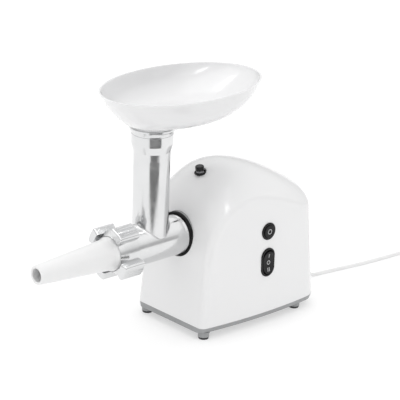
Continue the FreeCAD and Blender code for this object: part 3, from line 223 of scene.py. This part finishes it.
def pad_rubber():
    """Dull black rubber under the feet, with some dust."""
    material = new_material("pad_rubber", (0.03, 0.03, 0.032), 0.75, IOR=1.45)
    vary_color(material, noise(material, 120.0, 5.0), (0.022, 0.022, 0.024), (0.05, 0.05, 0.052))
    vary_roughness(material, noise(material, 500.0, 3.0), 0.65, 0.88)
    bumps(material, (noise(material, 2200.0, 3.0), 0.00006, 0.6))
    return material


def seal_rubber():
    """Deep black satin rubber of the ring at the housing."""
    material = new_material("seal_rubber", (0.004, 0.004, 0.0042), 0.34, IOR=1.28)
    vary_roughness(material, noise(material, 400.0, 3.0), 0.30, 0.50)
    bumps(material, (noise(material, 1600.0, 3.0), 0.00004, 0.4))
    return material


def polished_metal():
    """Die-cast aluminium, polished: soft unevenness, hairlines and a few duller patches."""
    material = new_material("polished_metal", (0.72, 0.725, 0.73), 0.15, metallic=1.0)
    vary_color(material, noise(material, 22.0, 4.0), (0.68, 0.685, 0.69), (0.75, 0.752, 0.755))
    vary_roughness(material, noise(material, 48.0, 6.0, roughness=0.6), 0.10, 0.22)
    bumps(material, (noise(material, 30.0, 1.5), 0.0010, 0.10),
          (noise(material, 900.0, 3.0, (1.0, 0.04, 1.0)), 0.00003, 0.20),
          (noise(material, 2600.0, 2.0), 0.00001, 0.25))
    return material


def blade_steel():
    """Ground steel of the knife and the holed plate."""
    material = new_material("blade_steel", (0.62, 0.62, 0.63), 0.24, metallic=1.0)
    vary_roughness(material, noise(material, 500.0, 4.0, (1.0, 1.0, 0.05)), 0.16, 0.36)
    bumps(material, (noise(material, 1500.0, 2.0, (1.0, 1.0, 0.04)), 0.00003, 0.4))
    return material


def gloss_black():
    """Polished black plastic of the knob and the switches, with faint dust in the gloss."""
    material = new_material("gloss_black", (0.004, 0.004, 0.0045), 0.14, IOR=1.31)
    vary_color(material, noise(material, 700.0, 6.0), (0.005, 0.005, 0.0055),
               (0.014, 0.014, 0.015), 0.45, 0.8)
    vary_roughness(material, noise(material, 260.0, 5.0), 0.08, 0.20)
    bumps(material, (noise(material, 90.0, 2.0), 0.0002, 0.15))
    return material


def printed_grey():
    """Pad-printed marks on the switches."""
    material = new_material("printed_grey", (0.50, 0.50, 0.51), 0.45)
    vary_color(material, noise(material, 2000.0, 3.0), (0.42, 0.42, 0.43), (0.56, 0.56, 0.57))
    return material


def plain_metal(name, color, low, high):
    """Metal with a roughness from low to high."""
    material = new_material(name, color, (low + high) / 2, metallic=1.0)
    vary_roughness(material, noise(material, 300.0, 5.0), low, high)
    vary_color(material, noise(material, 60.0, 4.0), tint(color, 0.88), tint(color, 1.08))
    bumps(material, (noise(material, 1200.0, 3.0), 0.00004, 0.35))
    return material


def dull_plastic(name, color, low=0.45, high=0.65):
    """Plastic with a roughness from low to high."""
    material = new_material(name, color, (low + high) / 2)
    vary_color(material, noise(material, 80.0, 4.0), tint(color, 0.9), tint(color, 1.1))
    vary_roughness(material, noise(material, 400.0, 3.0), low, high)
    bumps(material, (noise(material, 1400.0, 3.0), 0.00005, 0.4))
    return material


def laminated_steel():
    """Stacked sheets seen at their edges, as fine lines across Y."""
    material = new_material("laminated_steel", (0.30, 0.30, 0.32), 0.42, metallic=1.0)
    lines = waves(material, "Y", Scale=320.0, Distortion=0.2)
    vary_color(material, lines, (0.16, 0.16, 0.17), (0.40, 0.40, 0.42))
    bumps(material, (lines, 0.0001, 0.5))
    return material


def copper_winding():
    """Bundled enamelled wire, as level ridges with some tangle; the colour follows the ridges, darker
    in the grooves between the turns as painted shade.
    """
    material = new_material("copper_winding", (0.60, 0.25, 0.10), 0.32, metallic=0.9,
                            Coat_Weight=0.5)
    ridges_and_groove_shade = waves(material, "Z", Scale=240.0, Distortion=3.0, Detail=2.0)
    # Painted shade: darker copper in the grooves between the turns, where the bumps are low.
    vary_color(material, ridges_and_groove_shade, (0.34, 0.12, 0.05), (0.74, 0.34, 0.16))
    bumps(material, (ridges_and_groove_shade, 0.0004, 0.7))
    return material


def cord_white():
    """Soft white PVC of the cord, the strain relief and the plug."""
    material = new_material("cord_white", (0.78, 0.78, 0.78), 0.42, IOR=1.5)
    vary_color(material, noise(material, 60.0, 4.0), (0.76, 0.76, 0.76), (0.80, 0.80, 0.80))
    vary_roughness(material, noise(material, 500.0, 3.0), 0.36, 0.50)
    bumps(material, (noise(material, 1300.0, 3.0), 0.00004, 0.35))
    return material


def dress(material, *nodes):
    """Gives CAD nodes a material."""
    for name in nodes:
        piece = bpy.data.objects[name]
        if not piece.material_slots:
            piece.data.materials.append(material)
        for slot in piece.material_slots:
            slot.material = material


CORD_MATERIAL = cord_white()

dress(glossy_white(), "housing_shell")
dress(satin_grey(), "base_plate", "feet", "head_socket")
dress(pad_rubber(), "foot_pads")
dress(seal_rubber(), "seal_ring")
dress(polished_metal(), "head_casting", "ring_nut", "auger")
dress(blade_steel(), "cross_blade", "grinding_plate")
dress(nozzle_white(), "sausage_nozzle")
dress(tray_white(), "tray")
dress(gloss_black(), "button_bezel", "push_button", "rocker_bezel", "rocker_switch",
      "release_bush", "release_knob")
dress(plain_metal("zinc_steel", (0.60, 0.61, 0.63), 0.28, 0.45), "base_screws", "gearbox_screws",
      "socket_screws", "gear_pins", "rear_bracket", "motor_bolts", "motor_spacers", "rocker_pin")
dress(plain_metal("gear_steel", (0.42, 0.42, 0.44), 0.25, 0.42), "stage_two_gears",
      "output_gear", "output_shaft", "rotor_shaft")
dress(plain_metal("sintered_bronze", (0.50, 0.33, 0.16), 0.40, 0.60), "bushes", "brush_holders")
dress(dull_plastic("gearbox_nylon", (0.05, 0.05, 0.055)), "gearbox_housing", "gearbox_cover",
      "cooling_fan")
dress(dull_plastic("gear_nylon", (0.74, 0.71, 0.62), 0.35, 0.5), "stage_one_gears")
dress(dull_plastic("switch_black", (0.025, 0.025, 0.027)), "button_switch", "rocker_body",
      "board_parts")
dress(dull_plastic("carbon", (0.02, 0.02, 0.02), 0.6, 0.8), "carbon_brushes")
dress(dull_plastic("board_green", (0.03, 0.16, 0.07), 0.3, 0.5), "circuit_board")
dress(laminated_steel(), "motor_stator", "armature")
dress(copper_winding(), "field_coils", "armature_windings", "commutator")
dress(CORD_MATERIAL, "strain_relief", "plug")
dress(dull_plastic("tie_white", (0.70, 0.70, 0.70)), "cord_tie")
dress(plain_metal("pin_nickel", (0.72, 0.70, 0.66), 0.15, 0.28), "plug_pins")


# ---- cord ---------------------------------------------------------------------------------

CORD_DIAMETER = 0.005
CORD_EXIT = (0.0, 0.236, 0.024)
# The route's points from part.py, up to the coil.
CORD_ROUTE = (CORD_EXIT, (-0.0006, 0.248, 0.0226), (-0.002, 0.259, 0.012),
              (-0.0032, 0.2705, 0.0028), (-0.0016, 0.286, 0.0026), (0.0012, 0.303, 0.0026),
              (0.0044, 0.325, 0.0026), (0.0096, 0.354, 0.0026), (0.0132, 0.386, 0.0026),
              (0.0156, 0.419, 0.0026), (0.0159, 0.453, 0.0026))
COIL_TURNS = 6
TURNS_PER_LAYER = 3
TURN_COLUMNS = (1, 0, -1, -1, 0, 1)  # where each turn lies: 1 is outside, -1 inside
TURN_SPACING = 0.0049
FIRST_LAYER_Z = 0.0027
COIL_HALF_WIDTH = 0.008
POINTS_PER_TURN = 16
CHANGE_START = 0.82  # share of a turn after which the cord moves over to the next one
TAIL_SWING = 0.3  # sideways share of the way to the plug that its middle point keeps
PLUG_CORD_Z = 0.0069
PLUG_RUN = 0.003  # straight run behind the plug
PLUG_INSIDE = 0.002


def coil_points():
    """Turns of the coil, three wide in each of two layers, and half a turn on to the plug."""
    low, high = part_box("cord_coil")
    centre_x, centre_y, _ = centre("cord_coil")
    middle = (high[0] - low[0]) / 2 - COIL_HALF_WIDTH
    # The spline cuts inside its points, so they lie a little outside the turn.
    outside = math.cos(math.pi / POINTS_PER_TURN) ** 0.5
    points = []
    for i in range(1, COIL_TURNS * POINTS_PER_TURN + POINTS_PER_TURN // 2 + 1):
        turn = i / POINTS_PER_TURN
        now = min(int(turn), COIL_TURNS - 1)
        after = min(now + 1, COIL_TURNS - 1)
        share = min(max((turn - now - CHANGE_START) / (1 - CHANGE_START), 0.0), 1.0)
        share = share * share * (3 - 2 * share)
        column = TURN_COLUMNS[now] * (1 - share) + TURN_COLUMNS[after] * share
        layer = (now // TURNS_PER_LAYER) * (1 - share) + (after // TURNS_PER_LAYER) * share
        radius = (middle + column * TURN_SPACING) / outside
        angle = math.pi - 2 * math.pi * turn
        points.append((centre_x + radius * math.cos(angle), centre_y + radius * math.sin(angle),
                       FIRST_LAYER_Z + layer * TURN_SPACING))
    return points


def power_cord():
    """The whole cord: from the strain relief along the floor, round the coil and to the plug."""
    coil = coil_points()
    last = coil[-1]
    back_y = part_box("plug")[1][1]
    tail_x = centre("plug")[0]
    tail = [(tail_x + TAIL_SWING * (last[0] - tail_x), (2 * last[1] + back_y) / 3,
             (last[2] + PLUG_CORD_Z) / 2),
            (tail_x, back_y + PLUG_RUN, PLUG_CORD_Z), (tail_x, back_y - PLUG_INSIDE, PLUG_CORD_Z)]
    points = list(CORD_ROUTE) + coil + tail
    data = bpy.data.curves.new("mains_cord", "CURVE")
    data.dimensions = "3D"
    data.bevel_depth = CORD_DIAMETER / 2
    data.bevel_resolution = 6
    data.resolution_u = 8
    spline = data.splines.new("NURBS")
    spline.points.add(len(points) - 1)
    for point, place in zip(spline.points, points):
        point.co = (*place, 1.0)
    spline.order_u = 3
    spline.use_endpoint_u = True
    data.materials.append(CORD_MATERIAL)
    cord = add_object("mains_cord", data)
    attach(cord, "housing")
    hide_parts("power_cord", "cord_coil", "cord_tail")


power_cord()


# ---- springs ------------------------------------------------------------------------------

SPRING_MATERIAL = plain_metal("spring_steel", (0.45, 0.45, 0.47), 0.25, 0.4)
STEPS_PER_TURN = 24
WIRE_SIDES = 8
# Tilt and foot of the release knob's axis, as in part.py; its spring stands a little above.
KNOB_TILT = math.radians(9.0)
KNOB_SEAT = (0.0, 0.0509, 0.2006)
SEAT_GAP = 0.0007


def coil_spring(name, node, foot, direction, length, radius, wire, turns):
    """Helical spring in place of a plain sleeve."""
    turn_to = Vector(direction).to_track_quat("Z", "Y").to_matrix()
    steps = turns * STEPS_PER_TURN
    mesh = bmesh.new()
    rings = []
    for i in range(steps + 1):
        angle = 2 * math.pi * turns * i / steps
        radial = Vector((math.cos(angle), math.sin(angle), 0.0))
        middle = radial * radius + Vector((0.0, 0.0, wire + (length - 2 * wire) * i / steps))
        ring = []
        for side in range(WIRE_SIDES):
            around = 2 * math.pi * side / WIRE_SIDES
            offset = (radial * math.cos(around) + Vector((0.0, 0.0, math.sin(around)))) * wire
            ring.append(mesh.verts.new(Vector(foot) + turn_to @ (middle + offset)))
        rings.append(ring)
    for before, after in zip(rings, rings[1:]):
        for side in range(WIRE_SIDES):
            other = (side + 1) % WIRE_SIDES
            mesh.faces.new((before[side], before[other], after[other], after[side]))
    mesh.faces.new(rings[0])
    mesh.faces.new(rings[-1])
    piece = add_mesh(name, mesh, SPRING_MATERIAL, smooth=True)
    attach(piece, "housing")
    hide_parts(node)
    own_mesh(piece)


def springs():
    """Springs under the release knob and behind the push button."""
    up = Vector((0.0, -math.sin(KNOB_TILT), math.cos(KNOB_TILT)))
    coil_spring("knob_spring", "release_spring", Vector(KNOB_SEAT) + up * SEAT_GAP, up,
                length=0.0039, radius=0.00435, wire=0.00045, turns=3)
    low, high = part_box("button_spring")
    _, y, z = centre("button_spring")
    coil_spring("switch_spring", "button_spring", Vector((low[0], y, z)), Vector((1.0, 0.0, 0.0)),
                length=high[0] - low[0], radius=0.0046, wire=0.0005,
                turns=4)


springs()


# ---- marks on the controls ----------------------------------------------------------------

PRINT_MATERIAL = printed_grey()
PRINT_HEIGHT = 0.00008
RAY_START = 0.02  # how far outside a control the search for its face begins
BAR_HALF_WIDTH = 0.0005
BAR_HALF_HEIGHT = 0.0026
BAR_GAP = 0.0013  # half the distance between the two lines
BAR_CORE = 0.02  # size of a bar's inner loop as a share of its outline
RING_WIDTH = 0.0009
ROCKER_RING_RADIUS = 0.0024
BUTTON_RING_RADIUS = 0.0030
RING_POINTS = 32
END_MARKS = 0.62  # place of the outer marks as a share of the rocker's half height


def printed_mark(name, marks, node):
    """Thin print laid on a control's curved face; a mark is two loops of (y, z)."""
    control = bpy.data.objects[node]
    tree = BVHTree.FromObject(control, bpy.context.evaluated_depsgraph_get())
    start_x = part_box(node)[1][0] + RAY_START
    mesh = bmesh.new()
    for mark in marks:
        loops = []
        for loop in mark:
            row = []
            for y, z in loop:
                hit = tree.ray_cast(Vector((start_x, y, z)), Vector((-1.0, 0.0, 0.0)))[0]
                row.append(mesh.verts.new(hit + Vector((PRINT_HEIGHT, 0.0, 0.0))))
            loops.append(row)
        inner, outer = loops
        count = len(inner)
        for i in range(count):
            j = (i + 1) % count
            mesh.faces.new((inner[i], inner[j], outer[j], outer[i]))
    piece = add_mesh(name, mesh, PRINT_MATERIAL)
    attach(piece, node)


def circle_loop(y, z, radius):
    angles = [2 * math.pi * i / RING_POINTS for i in range(RING_POINTS)]
    return [(y + radius * math.cos(angle), z + radius * math.sin(angle)) for angle in angles]


def ring_mark(y, z, radius):
    return circle_loop(y, z, radius - RING_WIDTH / 2), circle_loop(y, z, radius + RING_WIDTH / 2)


def bar_mark(y, z):
    """Upright bar, whose inner loop is shrunk to nearly a point."""
    outer = [(y + a * BAR_HALF_WIDTH, z + b * BAR_HALF_HEIGHT)
             for a, b in ((-1, -1), (1, -1), (1, 1), (-1, 1))]
    return [(y + BAR_CORE * (a - y), z + BAR_CORE * (b - z)) for a, b in outer], outer


def control_marks():
    """A line, a ring and two lines for the rocker's three places, and a ring on the button."""
    low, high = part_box("rocker_switch")
    _, y, z = centre("rocker_switch")
    rise = END_MARKS * (high[2] - low[2]) / 2
    printed_mark("rocker_marks",
                 [bar_mark(y, z + rise), ring_mark(y, z, ROCKER_RING_RADIUS),
                  bar_mark(y - BAR_GAP, z - rise), bar_mark(y + BAR_GAP, z - rise)],
                 "rocker_switch")
    _, y, z = centre("push_button")
    printed_mark("button_mark", [ring_mark(y, z, BUTTON_RING_RADIUS)], "push_button")


control_marks()


# ---- floor, light and camera --------------------------------------------------------------

FLOOR_REACH = 8.0
CLOTH_Z = 0.002
# The cloth's corners round the feed tube, as metres out and degrees from +X towards +Y.
CLOTH_EDGE = ((0.40, -30), (0.46, -40), (0.52, -46), (0.60, -52), (1.20, -58), (1.20, 12),
              (0.60, 6), (0.52, -5), (0.46, -14), (0.40, -24))
SKY = ((0.0, 0.66), (0.04, 0.50), (0.16, 0.56), (0.32, 0.92), (0.60, 1.14), (1.0, 1.14))
LIGHT_TARGET = (0.0, 0.0, 0.17)
WINDOW_TARGET = (0.0, 0.0, 0.31)
WINDOW_BRIGHTNESS = 18.0  # watts for each square metre
# Camera fitted to the photograph: angles in degrees, lens and sensor in millimetres.
CAMERA_TURN, CAMERA_TILT, CAMERA_ROLL = 46.894, 20.255, 1.908
CAMERA_TARGET = (0.0, 0.05219, 0.16373)
CAMERA_DISTANCE = 2.61304
CAMERA_LENS = 183.435
SENSOR_WIDTH = 36.0


def flat_shape(name, corners, material):
    data = bpy.data.meshes.new(name)
    data.from_pydata(corners, [], [tuple(range(len(corners)))])
    data.materials.append(material)
    piece = add_object(name, data)
    return piece


def floor():
    """Pale table top that glows a little, so that the shadow on it stays faint."""
    material = new_material("floor", (0.55, 0.55, 0.55), 0.9, Emission_Color=WHITE,
                            Emission_Strength=0.46)
    vary_color(material, noise(material, 3.0, 3.0), (0.545, 0.545, 0.545), (0.555, 0.555, 0.555))
    corners = [(a * FLOOR_REACH, b * FLOOR_REACH, 0.0)
               for a, b in ((-1, -1), (1, -1), (1, 1), (-1, 1))]
    flat_shape("floor", corners, material)


def dark_cloth():
    """Dark cloth in front of the grinder and to its right, which only reflections show: hidden from
    the camera, from diffuse light and from shadows, it is a painted dark reflection in the gloss, and
    it glows faintly.
    """
    middle_y = (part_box("tray")[0][1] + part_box("head_casting")[1][1]) / 2
    corners = []
    for reach, degrees in CLOTH_EDGE:
        angle = math.radians(degrees)
        corners.append((reach * math.cos(angle), middle_y + reach * math.sin(angle), CLOTH_Z))
    # Faint glow of a part that is no lamp: painted light in the cloth's reflection.
    material = new_material("dark_cloth", (0.02, 0.02, 0.02), 0.9, Emission_Color=WHITE,
                            Emission_Strength=0.12)
    cloth = flat_shape("dark_cloth", corners, material)
    cloth.visible_camera = False
    cloth.visible_diffuse = False
    cloth.visible_shadow = False


def area_light(name, place, target, size, power):
    data = bpy.data.lights.new(name, "AREA")
    data.shape = "RECTANGLE"
    data.size, data.size_y = size
    data.energy = power
    light = add_object(name, data)
    light.location = place
    light.rotation_euler = (Vector(target) - Vector(place)).to_track_quat("-Z", "Y").to_euler()
    return light


def sky():
    """Bright tent: grey above the horizon, white from above, and plain white to the camera."""
    world = bpy.data.worlds.new("studio")
    bpy.context.scene.world = world
    world.use_nodes = True
    nodes, links = world.node_tree.nodes, world.node_tree.links
    coordinates = nodes.new("ShaderNodeTexCoord")
    split = nodes.new("ShaderNodeSeparateXYZ")
    links.new(coordinates.outputs["Generated"], split.inputs["Vector"])
    ramp = nodes.new("ShaderNodeValToRGB")
    elements = ramp.color_ramp.elements
    while len(elements) < len(SKY):
        elements.new(0.5)
    for element, (height, tone) in zip(elements, SKY):
        element.position = height
        element.color = (tone, tone, tone, 1.0)
    links.new(split.outputs["Z"], ramp.inputs["Fac"])
    path = nodes.new("ShaderNodeLightPath")
    mix = nodes.new("ShaderNodeMix")
    mix.data_type = "RGBA"
    mix.inputs[MIX_SECOND].default_value = WHITE
    links.new(path.outputs["Is Camera Ray"], mix.inputs[MIX_FACTOR])
    links.new(ramp.outputs["Color"], mix.inputs[MIX_FIRST])
    links.new(mix.outputs[MIX_RESULT], nodes["Background"].inputs["Color"])


def lights():
    """Three soft lights, and two windows that only the gloss shows."""
    area_light("top", (-0.2, -0.3, 2.2), LIGHT_TARGET, (1.6, 1.6), 6.0)
    area_light("key", (-0.9, -1.9, 1.5), LIGHT_TARGET, (1.0, 1.4), 1.6)
    area_light("right", (2.2, -0.3, 1.1), LIGHT_TARGET, (0.8, 1.4), 1.0)
    for name, place, size in (("window_front", (0.75, -0.35, 1.15), (0.20, 0.26)),
                              ("window_left", (-0.55, 0.0, 1.35), (0.24, 0.14))):
        power = WINDOW_BRIGHTNESS * size[0] * size[1]
        area_light(name, place, WINDOW_TARGET, size, power).visible_diffuse = False


def camera():
    """Long lens from the front right, a little above the grinder, with a slight roll."""
    turn, tilt, roll = (math.radians(angle) for angle in (CAMERA_TURN, CAMERA_TILT, CAMERA_ROLL))
    back = Vector((math.sin(turn) * math.cos(tilt), -math.cos(turn) * math.cos(tilt),
                   math.sin(tilt)))
    level = Vector((math.cos(turn), math.sin(turn), 0.0))
    up = back.cross(level)
    right = math.cos(roll) * level + math.sin(roll) * up
    above = math.cos(roll) * up - math.sin(roll) * level
    place = Vector(CAMERA_TARGET) + back * CAMERA_DISTANCE
    data = bpy.data.cameras.new("camera")
    data.lens = CAMERA_LENS
    data.sensor_width = SENSOR_WIDTH
    piece = add_object("camera", data)
    piece.matrix_world = (Matrix.Translation(place)
                          @ Matrix((right, above, back)).transposed().to_4x4())
    bpy.context.scene.camera = piece


floor()
dark_cloth()
sky()
lights()
camera()
bpy.context.scene.view_settings.view_transform = "Standard"
